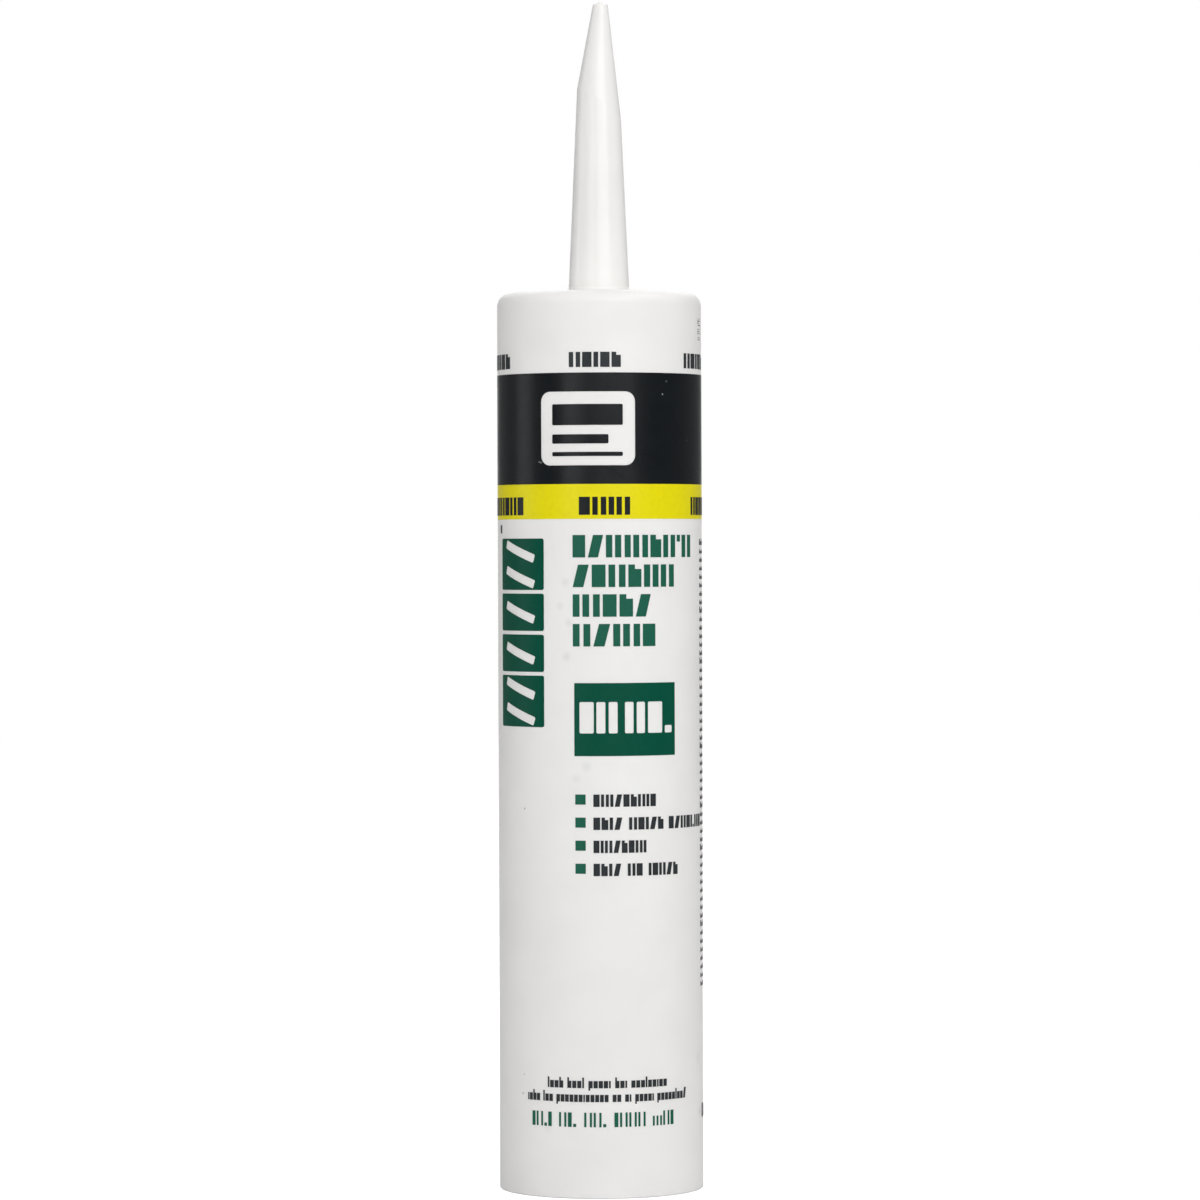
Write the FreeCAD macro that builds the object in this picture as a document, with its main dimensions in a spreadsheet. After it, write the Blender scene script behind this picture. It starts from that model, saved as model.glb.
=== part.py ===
import FreeCAD, Part
import os

import Sketcher

# A 300 mL sealant cartridge, standing on the open rim of its barrel.
# Millimetres. +Z runs up the barrel to the closed nozzle tip, the origin is the centre of the rear rim,
# and the front of the print faces -Y. Angles on the print are degrees round the barrel from its front,
# growing towards +X.

Vector = FreeCAD.Vector
Z_AXIS = Vector(0, 0, 1)
Y_AXIS = Vector(0, 1, 0)
FRONT_AT = -90.0
FULL_TURN = 360.0
SAME_LENGTH = 1e-4
SAME_ANGLE = 1e-6

SIZES = (
    ("barrel_radius", 24.75, "outside of the barrel"),
    ("barrel_wall", 1.4, "wall of the barrel"),
    ("barrel_length", 217.0, "rear rim to the outside of the shoulder"),
    ("shoulder_wall", 2.0, "thickness of the flat shoulder"),
    ("shoulder_round", 3.2, "outer corner of the shoulder"),
    ("shoulder_bevel", 1.0, "inner corner of the shoulder"),
    ("rim_bevel", 0.4, "outer edge of the rear rim"),
    ("rim_lead", 0.4, "lead-in bevel of the bore for the plunger"),
    ("nozzle_length", 70.5, "shoulder to the closed tip"),
    ("nozzle_radius", 7.41, "outside of the nozzle at the shoulder"),
    ("nozzle_taper", 2.59, "half angle of the long lower cone"),
    ("nozzle_wall", 1.2, "wall of the nozzle"),
    ("nozzle_fillet", 0.55, "corner between nozzle and shoulder"),
    ("tip_radius", 1.75, "blunt end of the nozzle"),
    ("tip_taper", 8.6, "half angle of the steeper tip cone"),
    ("tip_lean", 2.2, "lean of the tip cone towards +X"),
    ("tip_pivot", 15.0, "below the end, where the leaning cone crosses the nozzle's axis"),
    ("tip_closure", 2.0, "solid plastic that is cut away to open the tip"),
    ("tip_round", 0.8, "edge of the blunt end"),
    ("gate_radius", 0.6, "moulding gate mark on the tip"),
    ("gate_height", 0.35, "height of the gate mark"),
    ("plunger_recess", 16.0, "rear rim to the rear edge of the plunger"),
    ("plunger_height", 22.0, "rear edge to the flat front of the plunger"),
    ("plunger_clearance", 0.08, "between the plunger's lips and the bore"),
    ("plunger_wall", 1.4, "skirt of the plunger"),
    ("plunger_crown", 1.8, "front wall of the plunger"),
    ("plunger_relief", 1.0, "skirt set in between the two lips"),
    ("plunger_nose", 2.0, "bevel round the flat front"),
    ("guide_lip", 3.0, "height of the rear guiding lip"),
    ("wiper_lip", 4.0, "height of the front wiping lip"),
    ("plunger_bevel", 0.9, "inner corner of the plunger's cup"),
    ("sealant_clearance", 0.1, "between the sealant and the walls"),
    ("ink_film", 0.05, "thickness of one printed film"),
    ("black_low", 170.55, "lower edge of the black band"),
    ("black_high", 197.1, "upper edge of the black band"),
    ("yellow_low", 162.24, "lower edge of the yellow band, which meets the black one"),
    ("panel_width", 22.4, "clear panel left in the black band"),
    ("panel_height", 17.6, "clear panel, up the barrel"),
    ("panel_aside", -2.7, "middle of the clear panel from the front line"),
    ("panel_round", 2.4, "corners of the clear panel"),
    ("panel_bar_low", 184.6, "lower edge of the tall dark bar in the clear panel"),
    ("panel_bar_height", 5.0, "tall dark bar, up the barrel"),
    ("panel_line_low", 180.2, "lower edge of the thin dark bar in the clear panel"),
    ("panel_line_height", 2.2, "thin dark bar, up the barrel"),
    ("colour_words_low", 198.4, "foot of the dark words above the black band"),
    ("colour_words_height", 3.6, "height of those words"),
    ("use_words_low", 163.2, "foot of the dark words on the yellow band"),
    ("use_words_height", 4.3, "height of those words"),
    ("headline_top", 158.4, "top of the first headline"),
    ("headline_pitch", 7.07, "one headline to the next"),
    ("headline_height", 5.35, "height of a headline"),
    ("side_top", 157.6, "top of the side column"),
    ("side_tall", 12.3, "first and last block of the side column"),
    ("side_short", 8.9, "middle blocks of the side column"),
    ("side_gap", 0.9, "between blocks of the side column"),
    ("green_panel_low", 105.7, "lower edge of the green panel"),
    ("green_panel_height", 17.4, "green panel, up the barrel"),
    ("bullet_top", 96.55, "top of the first bullet"),
    ("bullet_pitch", 5.5, "one bullet to the next"),
    ("bullet_height", 2.4, "height of a bullet"),
    ("foot_line_low", 17.2, "foot of the green line near the rim"),
    ("foot_line_height", 3.45, "height of that line"),
)

# Where the print starts and ends round the barrel, in degrees.
PANEL_BAR_ANGLES = (-27.0, 13.0)
PANEL_LINE_ANGLES = (-27.0, 5.0)
WORDS_AROUND = 5
COLOUR_WORD_MIDDLE = -2.5
COLOUR_WORD_SPAN = 29.0
USE_WORD_MIDDLE = 2.75
USE_WORD_SPANS = (28.5, 25.8, 34.0, 30.0, 43.6)
HEADLINE_START = -15.2
HEADLINE_ENDS = (61.3, 45.6, 29.3, 32.2)
SIDE_ANGLES = (-71.4, -32.8)
GREEN_PANEL_ANGLES = (-14.5, 46.0)
BULLETS = 4
BULLET_ANGLES = (-14.1, -8.3)
FOOT_LINE_ANGLES = (-41.9, 44.0)

# A section is first drawn as a ring of short lines, well clear of the axis.
ROUGH_CENTRE = Vector(20, 20, 0)
ROUGH_SPOKE = Vector(10, 0, 0)

doc = FreeCAD.newDocument("caulk_tube")
sheet = doc.addObject("Spreadsheet::Sheet", "Dimensions")
for row, (alias, value, meaning) in enumerate(SIZES, start=1):
    sheet.set(f"A{row}", alias)
    sheet.set(f"B{row}", str(value))
    sheet.setAlias(f"B{row}", alias)
    sheet.set(f"C{row}", meaning)
doc.recompute()


def size(alias):
    """A driving dimension, read from the sheet."""
    return float(sheet.get(alias))


def bind(thing, **expressions):
    """Tie properties to the sheet; a double underscore in a name stands for a dot."""
    for path, expression in expressions.items():
        thing.setExpression(path.replace("__", "."), expression)


def origin_plane(body, role):
    """One of a body's own origin planes."""
    for feature in body.Origin.OriginFeatures:
        if feature.Role == role:
            return feature
    raise RuntimeError(f"no origin plane {role}")


def turned_section(body, name, corners):
    """A closed half section on the body's XZ plane, each corner (radius, height) driven by the sheet.

    It is drawn roughly, and its constraints pull it to size.
    """
    sketch = body.newObject("Sketcher::SketchObject", name)
    sketch.AttachmentSupport = (origin_plane(body, "XZ_Plane"), [""])
    sketch.MapMode = "FlatFace"
    count = len(corners)
    rough = []
    for k in range(count):
        rough.append(ROUGH_CENTRE + FreeCAD.Rotation(Z_AXIS, FULL_TURN * k / count).multVec(ROUGH_SPOKE))
    for k in range(count):
        sketch.addGeometry(Part.LineSegment(rough[k], rough[(k + 1) % count]), False)
    for k in range(count):
        sketch.addConstraint(Sketcher.Constraint("Coincident", k, 2, (k + 1) % count, 1))
    for k, (radius, height) in enumerate(corners):
        for kind, path, start in (("DistanceX", radius, rough[k].x), ("DistanceY", height, rough[k].y)):
            which = sketch.addConstraint(Sketcher.Constraint(kind, -1, 1, k, 1, start))
            label = f"corner{k}{kind[-1]}"
            sketch.renameConstraint(which, label)
            sketch.setExpression(f"Constraints.{label}", path)
    doc.recompute()
    return sketch


def turn(body, name, sketch):
    """The section turned once round the cartridge's axis."""
    feature = body.newObject("PartDesign::Revolution", name)
    feature.Profile = sketch
    feature.ReferenceAxis = (sketch, ["V_Axis"])
    feature.Angle = FULL_TURN
    doc.recompute()
    return feature


def ring_edges(shape, radius, height):
    """Names of the level circular edges of one radius at one height."""
    names = []
    for index, edge in enumerate(shape.Edges, start=1):
        curve = edge.Curve
        if not isinstance(curve, Part.Circle):
            continue
        if abs(curve.Radius - radius) < SAME_LENGTH and abs(curve.Center.z - height) < SAME_LENGTH:
            names.append(f"Edge{index}")
    if not names:
        raise RuntimeError(f"no round edge of radius {radius} at {height}")
    return names


def soften(body, name, kind, radius, height, expression):
    """A fillet or chamfer on one round edge of the body, its size driven by the sheet."""
    base = body.Tip
    feature = body.newObject(f"PartDesign::{kind}", name)
    feature.Base = (base, ring_edges(base.Shape, radius, height))
    feature.setExpression("Radius" if kind == "Fillet" else "Size", expression)
    doc.recompute()
    return feature


# Sizes that several pieces share, worked out from the sheet.
BARREL = "Dimensions.barrel_radius"
BORE = "(Dimensions.barrel_radius - Dimensions.barrel_wall)"
SHOULDER = "Dimensions.barrel_length"
UNDER_SHOULDER = "(Dimensions.barrel_length - Dimensions.shoulder_wall)"
TOP = "(Dimensions.barrel_length + Dimensions.nozzle_length)"
PLUNGER_FRONT = "(Dimensions.plunger_recess + Dimensions.plunger_height)"
LIP = f"({BORE} - Dimensions.plunger_clearance)"
SKIRT = f"({LIP} - Dimensions.plunger_relief)"
CUP = f"({SKIRT} - Dimensions.plunger_wall)"

barrel_radius = size("barrel_radius")
bore_radius = barrel_radius - size("barrel_wall")
shoulder_top = size("barrel_length")
shoulder_under = shoulder_top - size("shoulder_wall")
nozzle_top = shoulder_top + size("nozzle_length")
plunger_front = size("plunger_recess") + size("plunger_height")


def make_barrel():
    """Barrel and shoulder, turned in one section, with the shoulder's round and the rim's bevels."""
    body = doc.addObject("PartDesign::Body", "Barrel")
    section = turned_section(
        body,
        "BarrelSection",
        (
            (BORE, "0"),
            (BARREL, "0"),
            (BARREL, SHOULDER),
            ("0", SHOULDER),
            ("0", UNDER_SHOULDER),
            (BORE, UNDER_SHOULDER),
        ),
    )
    turn(body, "BarrelTurned", section)
    soften(body, "ShoulderRound", "Fillet", barrel_radius, shoulder_top, "Dimensions.shoulder_round")
    soften(body, "ShoulderInside", "Chamfer", bore_radius, shoulder_under, "Dimensions.shoulder_bevel")
    soften(body, "RimBevel", "Chamfer", barrel_radius, 0.0, "Dimensions.rim_bevel")
    soften(body, "RimLead", "Chamfer", bore_radius, 0.0, "Dimensions.rim_lead")
    return body


def leaning_cone(name, drop, inset):
    """The steep cone of the tip, on its leaning axis.

    It ends drop below the nozzle's end, stands inset inside the outer skin, and reaches down past the
    shoulder, so that the long cone alone shapes the nozzle below the crease.
    """
    cone = doc.addObject("Part::Cone", name)
    reach = "(Dimensions.nozzle_length + Dimensions.shoulder_wall + Dimensions.nozzle_radius)"
    end_x = "Dimensions.tip_pivot * tan(Dimensions.tip_lean)"
    bind(
        cone,
        Height=f"{reach} - {drop}",
        Radius2=f"Dimensions.tip_radius + {drop} * tan(Dimensions.tip_taper) - {inset}",
        Radius1=f"Dimensions.tip_radius + {reach} * tan(Dimensions.tip_taper) - {inset}",
        Placement__Base__x=f"{end_x} - {reach} * sin(Dimensions.tip_lean)",
        Placement__Base__z=f"{TOP} - {reach} * cos(Dimensions.tip_lean)",
        Placement__Rotation__Angle="Dimensions.tip_lean",
    )
    cone.Placement = FreeCAD.Placement(Vector(), FreeCAD.Rotation(Y_AXIS, size("tip_lean")))
    return cone


def long_cone(name, depth, inset):
    """The long cone of the nozzle, from depth below the shoulder to just past the tip."""
    cone = doc.addObject("Part::Cone", name)
    slope = "tan(Dimensions.nozzle_taper)"
    rise = "(Dimensions.nozzle_length + Dimensions.tip_radius)"
    bind(
        cone,
        Height=f"{rise} + {depth}",
        Radius1=f"Dimensions.nozzle_radius + {depth} * {slope} - {inset}",
        Radius2=f"Dimensions.nozzle_radius - {rise} * {slope} - {inset}",
        Placement__Base__z=f"{SHOULDER} - {depth}",
    )
    return cone


def combine(kind, name, base, tool):
    """A two-piece boolean of the document."""
    result = doc.addObject(kind, name)
    result.Base = base
    result.Tool = tool
    doc.recompute()
    return result


def make_cartridge():
    """The one-piece moulding: barrel, shoulder and hollow nozzle with its closed, leaning tip."""
    skin = combine(
        "Part::Common",
        "NozzleSkin",
        long_cone("NozzleCone", "Dimensions.shoulder_wall / 2", "0"),
        leaning_cone("TipCone", "0", "0"),
    )
    passage = combine(
        "Part::Common",
        "Passage",
        long_cone("PassageCone", "2 * Dimensions.shoulder_wall", "Dimensions.nozzle_wall"),
        leaning_cone("PassageTip", "Dimensions.tip_closure", "Dimensions.nozzle_wall"),
    )
    gate = doc.addObject("Part::Cylinder", "GateMark")
    bind(
        gate,
        Radius="Dimensions.gate_radius",
        Height="Dimensions.gate_height + Dimensions.tip_round",
        Placement__Base__x="Dimensions.tip_pivot * tan(Dimensions.tip_lean)",
        Placement__Base__z=f"{TOP} - Dimensions.tip_round",
        Placement__Rotation__Angle="Dimensions.tip_lean",
    )
    gate.Placement = FreeCAD.Placement(Vector(), FreeCAD.Rotation(Y_AXIS, size("tip_lean")))
    solid = combine("Part::Fuse", "BarrelAndNozzle", make_barrel(), skin)
    hollow = combine("Part::Cut", "Hollowed", solid, passage)
    rounded = doc.addObject("Part::Fillet", "NozzleRounds")
    rounded.Base = hollow
    rounded.Edges = nozzle_rounds(hollow.Shape)
    doc.recompute()
    cartridge = combine("Part::Fuse", "Cartridge", rounded, gate)
    cartridge.Label = "cartridge"
    return cartridge


def nozzle_rounds(shape):
    """The nozzle's foot on the shoulder and the edge of its blunt end, each with its radius."""
    foot_round = size("nozzle_fillet")
    tip_round = size("tip_round")
    foot = [int(name[len("Edge"):]) for name in ring_edges(shape, size("nozzle_radius"), shoulder_top)]
    rounds = [(index, foot_round, foot_round) for index in foot]
    for index, edge in enumerate(shape.Edges, start=1):
        curve = edge.Curve
        if not isinstance(curve, Part.Circle):
            continue
        if abs(curve.Radius - size("tip_radius")) < SAME_LENGTH and curve.Center.z > nozzle_top - tip_round:
            rounds.append((index, tip_round, tip_round))
    if len(rounds) != 2:
        raise RuntimeError(f"{len(rounds)} nozzle edges to round, not 2")
    return rounds


def make_plunger():
    """The follower: a cup open to the rear, with a guiding lip behind and a wiping lip in front."""
    body = doc.addObject("PartDesign::Body", "Plunger")
    rear = "Dimensions.plunger_recess"
    wiper_rear = f"{PLUNGER_FRONT} - Dimensions.plunger_nose - Dimensions.wiper_lip"
    section = turned_section(
        body,
        "PlungerSection",
        (
            (CUP, rear),
            (LIP, rear),
            (LIP, f"{rear} + Dimensions.guide_lip"),
            (SKIRT, f"{rear} + Dimensions.guide_lip + Dimensions.plunger_relief"),
            (SKIRT, f"{wiper_rear} - Dimensions.plunger_relief"),
            (LIP, wiper_rear),
            (LIP, f"{PLUNGER_FRONT} - Dimensions.plunger_nose"),
            (f"{LIP} - Dimensions.plunger_nose", PLUNGER_FRONT),
            ("0", PLUNGER_FRONT),
            ("0", f"{PLUNGER_FRONT} - Dimensions.plunger_crown"),
            (CUP, f"{PLUNGER_FRONT} - Dimensions.plunger_crown"),
        ),
    )
    turn(body, "PlungerTurned", section)
    cup_radius = bore_radius - size("plunger_clearance") - size("plunger_relief") - size("plunger_wall")
    cup_floor = plunger_front - size("plunger_crown")
    soften(body, "CupCorner", "Chamfer", cup_radius, cup_floor, "Dimensions.plunger_bevel")
    body.Label = "plunger"
    return body


def make_sealant():
    """The filling, from the plunger's flat front to the underside of the shoulder."""
    column = doc.addObject("Part::Cylinder", "SealantColumn")
    bind(
        column,
        Radius=f"{BORE} - Dimensions.sealant_clearance",
        Height=f"{UNDER_SHOULDER} - Dimensions.sealant_clearance - {PLUNGER_FRONT}",
        Placement__Base__z=PLUNGER_FRONT,
    )
    doc.recompute()
    top = shoulder_under - size("sealant_clearance")
    corner = size("shoulder_bevel")
    edge = ring_edges(column.Shape, bore_radius - size("sealant_clearance"), top)[0]
    sealant = doc.addObject("Part::Chamfer", "Sealant")
    sealant.Base = column
    sealant.Edges = [(int(edge[len("Edge"):]), corner, corner)]
    sealant.Label = "sealant"
    doc.recompute()
    return sealant


def ink_ring(name, low, high):
    """A printed band all the way round the barrel."""
    disc = doc.addObject("Part::Cylinder", f"{name}Outside")
    bind(
        disc,
        Radius=f"{BARREL} + Dimensions.ink_film",
        Height=f"{high} - {low}",
        Placement__Base__z=low,
    )
    core = doc.addObject("Part::Cylinder", f"{name}Inside")
    bind(core, Radius=BARREL, Height=f"{high} - {low}", Placement__Base__z=low)
    return combine("Part::Cut", name, disc, core)


def ink_bar(low_alias, height_alias, angles, drop=0.0, layer=0):
    """A printed bar between two angles, drop below the height that the sheet gives it.

    Layer 0 lies on the barrel and layer 1 on other ink.
    """
    low = size(low_alias) - drop
    high = low + size(height_alias)
    inside = barrel_radius + layer * size("ink_film")
    outside = inside + size("ink_film")
    corners = ((inside, low), (outside, low), (outside, high), (inside, high), (inside, low))
    face = Part.Face(Part.makePolygon([Vector(radius, 0, height) for radius, height in corners]))
    bar = face.revolve(Vector(), Z_AXIS, angles[1] - angles[0])
    bar.rotate(Vector(), Z_AXIS, angles[0] + FRONT_AT)
    return bar


def ink_group(name, bars):
    """Separate printed bars of one colour, held together in one feature."""
    feature = doc.addObject("Part::Feature", name)
    feature.Shape = Part.makeCompound(bars)
    return feature


def gather(name, label, features):
    """All the print of one ink, as a group of separate films."""
    group = doc.addObject("Part::Compound", name)
    group.Links = features
    group.Label = label
    doc.recompute()
    return group


def make_black_print():
    """The black band with its clear rounded panel, and the dark words above it and on the yellow band."""
    ring = ink_ring("BlackRing", "Dimensions.black_low", "Dimensions.black_high")
    block = doc.addObject("Part::Box", "PanelBlock")
    bind(
        block,
        Length="Dimensions.panel_width",
        Width=BARREL,
        Height="Dimensions.panel_height",
        Placement__Base__x="Dimensions.panel_aside - Dimensions.panel_width / 2",
        Placement__Base__y=f"-{BARREL} - Dimensions.barrel_wall",
        Placement__Base__z="(Dimensions.black_low + Dimensions.black_high - Dimensions.panel_height) / 2",
    )
    doc.recompute()
    panel = doc.addObject("Part::Fillet", "PanelWindow")
    panel.Base = block
    corners = []
    for index, edge in enumerate(block.Shape.Edges, start=1):
        if edge.tangentAt(edge.FirstParameter).isParallel(Y_AXIS, SAME_ANGLE):
            corners.append((index, size("panel_round"), size("panel_round")))
    panel.Edges = corners
    doc.recompute()
    band = combine("Part::Cut", "BlackBand", ring, panel)
    words = []
    for k, span in enumerate(USE_WORD_SPANS):
        turn_to = FULL_TURN * k / WORDS_AROUND
        start = COLOUR_WORD_MIDDLE + turn_to - COLOUR_WORD_SPAN / 2
        words.append(ink_bar("colour_words_low", "colour_words_height", (start, start + COLOUR_WORD_SPAN)))
        start = USE_WORD_MIDDLE + turn_to - span / 2
        words.append(ink_bar("use_words_low", "use_words_height", (start, start + span), layer=1))
    bars = [
        ink_bar("panel_bar_low", "panel_bar_height", PANEL_BAR_ANGLES),
        ink_bar("panel_line_low", "panel_line_height", PANEL_LINE_ANGLES),
    ]
    return gather("BlackPrint", "black_print", [band, ink_group("BlackWords", words + bars)])


def make_yellow_print():
    """The yellow band under the black one."""
    ring = ink_ring("YellowRing", "Dimensions.yellow_low", "Dimensions.black_low")
    return gather("YellowPrint", "yellow_print", [ring])


def make_green_print():
    """The green print of the front: headline, side column, panel, bullets and foot line."""
    headline = []
    for k, end in enumerate(HEADLINE_ENDS):
        drop = size("headline_height") + k * size("headline_pitch")
        headline.append(ink_bar("headline_top", "headline_height", (HEADLINE_START, end), drop))
    column = []
    drop = 0.0
    for block in ("side_tall", "side_short", "side_short", "side_tall"):
        drop += size(block)
        column.append(ink_bar("side_top", block, SIDE_ANGLES, drop))
        drop += size("side_gap")
    bullets = []
    for k in range(BULLETS):
        drop = size("bullet_height") + k * size("bullet_pitch")
        bullets.append(ink_bar("bullet_top", "bullet_height", BULLET_ANGLES, drop))
    panel = ink_bar("green_panel_low", "green_panel_height", GREEN_PANEL_ANGLES)
    foot_line = ink_bar("foot_line_low", "foot_line_height", FOOT_LINE_ANGLES)
    return gather(
        "GreenPrint",
        "green_print",
        [
            ink_group("Headline", headline),
            ink_group("SideColumn", column),
            ink_group("GreenPanel", [panel]),
            ink_group("Bullets", bullets),
            ink_group("FootLine", [foot_line]),
        ],
    )


pieces = [
    make_cartridge(),
    make_plunger(),
    make_sealant(),
    make_black_print(),
    make_yellow_print(),
    make_green_print(),
]
doc.recompute()

for thing in doc.Objects:
    if "Invalid" in thing.State or "Error" in thing.State:
        raise RuntimeError(f"{thing.Name} failed to build: {thing.State}")
for piece in pieces:
    if piece.Shape.isNull() or not piece.Shape.isValid():
        raise RuntimeError(f"{piece.Label} is not a valid solid")

os.makedirs("parts", exist_ok=True)
for piece in pieces:
    piece.Shape.exportStep(f"parts/{piece.Label}.step")
    box = piece.Shape.optimalBoundingBox()
    print(
        f"{piece.Label}: {len(piece.Shape.Solids)} solids, {piece.Shape.Volume:.1f} mm3,",
        f"x {box.XMin:.2f} to {box.XMax:.2f}, y {box.YMin:.2f} to {box.YMax:.2f},",
        f"z {box.ZMin:.2f} to {box.ZMax:.2f}",
    )
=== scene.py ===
import math

import bmesh
import bpy
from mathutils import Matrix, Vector


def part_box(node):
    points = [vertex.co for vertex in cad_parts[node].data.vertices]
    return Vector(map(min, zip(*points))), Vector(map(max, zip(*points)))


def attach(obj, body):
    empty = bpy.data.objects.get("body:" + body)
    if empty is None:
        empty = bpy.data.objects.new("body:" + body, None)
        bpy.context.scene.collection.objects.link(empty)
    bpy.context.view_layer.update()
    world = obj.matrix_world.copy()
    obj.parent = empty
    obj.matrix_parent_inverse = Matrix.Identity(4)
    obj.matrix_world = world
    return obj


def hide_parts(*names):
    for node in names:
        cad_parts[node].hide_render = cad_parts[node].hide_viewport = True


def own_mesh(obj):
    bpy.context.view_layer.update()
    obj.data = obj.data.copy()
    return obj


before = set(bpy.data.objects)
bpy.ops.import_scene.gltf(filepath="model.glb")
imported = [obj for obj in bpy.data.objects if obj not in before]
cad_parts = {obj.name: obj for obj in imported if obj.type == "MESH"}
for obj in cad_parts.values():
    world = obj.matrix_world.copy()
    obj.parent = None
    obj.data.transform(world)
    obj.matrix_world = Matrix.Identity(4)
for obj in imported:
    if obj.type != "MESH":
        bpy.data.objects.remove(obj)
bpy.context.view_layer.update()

# The looks of a 300 mL sealant cartridge round its fixed frame.
# Metres, +Z up the barrel, the origin in the middle of the rear rim, the front of the print facing -Y.
# Lengths below are millimetres unless their name says otherwise; angles are degrees round the barrel
# from the front line, growing towards +X.

MM = 0.001
FULL_TURN = 360.0
AROUND = 192
SMOOTH_ANGLE = 30.0

# How near points are that count as one, in metres; a band's two ends meet a little less exactly.
SAME_PLACE = 1e-7
MERGE_DISTANCE = 1e-6
SEAM_DISTANCE = 2e-6

# Driving sizes, from the frame.
cartridge_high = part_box("cartridge")[1]
plunger_low, plunger_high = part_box("plunger")
sealant_low, sealant_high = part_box("sealant")
yellow_low, yellow_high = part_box("yellow_print")
BARREL_RADIUS = cartridge_high.x / MM
LIP_RADIUS = plunger_high.x / MM
SEALANT_RADIUS = sealant_high.x / MM
INK_FILM = (yellow_high.x - cartridge_high.x) / MM
YELLOW_LOW = yellow_low.z / MM
YELLOW_HIGH = yellow_high.z / MM

# Moulding.
BARREL_WALL = 1.4
BORE_RADIUS = BARREL_RADIUS - BARREL_WALL
BARREL_LENGTH = 217.0
SHOULDER_WALL = 2.0
SHOULDER_ROUND = 3.2
SHOULDER_BEVEL = 1.0
RIM_ROUND = 0.4
RIM_LEAD = 0.4
NOZZLE_TOP = 287.5
NOZZLE_RADIUS = 7.41
NOZZLE_SLOPE = math.tan(math.radians(2.59))
NOZZLE_WALL = 1.2
NOZZLE_FILLET = 0.55
TIP_RADIUS = 1.75
TIP_SLOPE = math.tan(math.radians(8.6))
TIP_LEAN = 2.2
TIP_PIVOT = 15.0
TIP_ROUND = 0.8
TIP_CLOSURE = 2.0
GATE_RADIUS = 0.6
GATE_HEIGHT = 0.35
PASSAGE_BEND = 26.5
CREASE_ZONE = (30.0, 10.0)
CREASE_ANGLE = 4.0
CUT_MARGIN = 1.5
SHOULDER_CLEARANCE = 8.0

# Plunger.
PLUNGER_REAR = plunger_low.z / MM
PLUNGER_FRONT = plunger_high.z / MM
PLUNGER_RELIEF = 1.0
PLUNGER_WALL = 1.4
PLUNGER_CROWN = 1.8
PLUNGER_NOSE = 2.0
GUIDE_LIP = 3.0
WIPER_LIP = 4.0
NOSE_EDGE_ROUND = 0.3
REAR_EDGE_ROUND = 0.25
CUP_ROUND = 0.9

# Print. Heights of the bands and lines, and where they start and end round the barrel. Fine print is marked
# by an attribute of its faces.
THIN_INK = "thin_ink"
WINDOW_DEPTH = 5
SLICE_ANGLE = 2.5
LETTER_GAP = 0.17
WORD_GAP = 0.5
BLACK_HIGH = 197.1
PANEL_HALF_WIDTH = 11.2
PANEL_ASIDE = -2.7
PANEL_LOW = 175.0
PANEL_HIGH = 192.6
PANEL_ROUND = 2.4
PANEL_BAR_ROUND = 0.3
PANEL_BARS = ((184.6, 189.6, -27.0, 13.0), (180.2, 182.4, -27.0, 5.0), (177.2, 178.2, -27.0, 13.0))
WORDS_AROUND = 5
COLOUR_WORDS = (198.4, 202.0)
COLOUR_WORD = ("pbnbu", -17.0, 12.0)
USE_WORDS = (163.2, 167.5)
USE_WORD_LINES = (
    ("bpnp", -11.5, 17.0),
    ("pbbpn", 61.85, 87.65),
    ("bpunbv", 129.75, 163.75),
    ("ubpnb", 203.75, 233.75),
    ("bpnpbpb", 268.95, 312.55),
)
HEADLINE_TOP = 158.4
HEADLINE_PITCH = 7.07
HEADLINE_HEIGHT = 5.35
HEADLINE_START = -15.2
HEADLINE = (("blnppupdp", 61.3), ("lbpunnp", 45.6), ("npbul", 29.3), ("plnpb", 32.2))
SIDE_ANGLES = (-71.4, -32.8)
SIDE_BLOCKS = ((145.3, 157.6, 2), (135.5, 144.4, 1), (125.7, 134.6, 1), (112.5, 124.8, 2))
SIDE_ROUND = 0.5
SIDE_SLOT_LENGTH = 11.5
SIDE_SLOT_WIDTH = 2.1
SIDE_SLOT_ROUND = 0.4
SIDE_SLOT_TILT = 18.0
SIDE_TICK = (158.9, 160.9, -74.5, -72.0)
GREEN_PANEL = (105.7, 123.1, -14.5, 46.0)
GREEN_WINDOW_ROUND = 0.35
GREEN_PANEL_WINDOWS = (
    (111.1, 118.6, -11.6, -3.6),
    (111.1, 118.6, -2.2, 2.8),
    (111.1, 118.6, 4.6, 9.6),
    (111.1, 118.6, 13.7, 18.7),
    (111.1, 118.6, 20.5, 25.5),
    (111.1, 118.6, 27.3, 36.7),
    (111.1, 112.9, 38.4, 43.6),
)
BULLET_TOP = 96.55
BULLET_PITCH = 5.5
BULLET_SIZE = 2.4
BULLET_ANGLES = (-14.1, -8.3)
BULLET_TEXT_HEIGHT = 2.95
BULLET_LINES = (
    ("bpnlbupnb", 32.2),
    ("bunl pbnlu blpbn.pb", 74.7),
    ("bnplubpn", 26.1),
    ("bunl pb nbplu", 48.0),
)
BULLET_TEXT_START = -4.0
SMALL_LINES = (
    (26.5, "tooh hoot goooi hoi oootooioo", -31.2, 39.1),
    (23.2, "ioho too goooooiooooo oo oi goooi gooootool", -45.2, 54.8),
)
SMALL_LINE_HEIGHT = 2.55
FOOT_LINE = (17.2, 20.65)
FOOT_WORDS = ("nf.n fn. ff. nfff efn", -41.9, 44.0)
SIDE_MARK = (17.5, 20.8, 78.0, 96.0)

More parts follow.
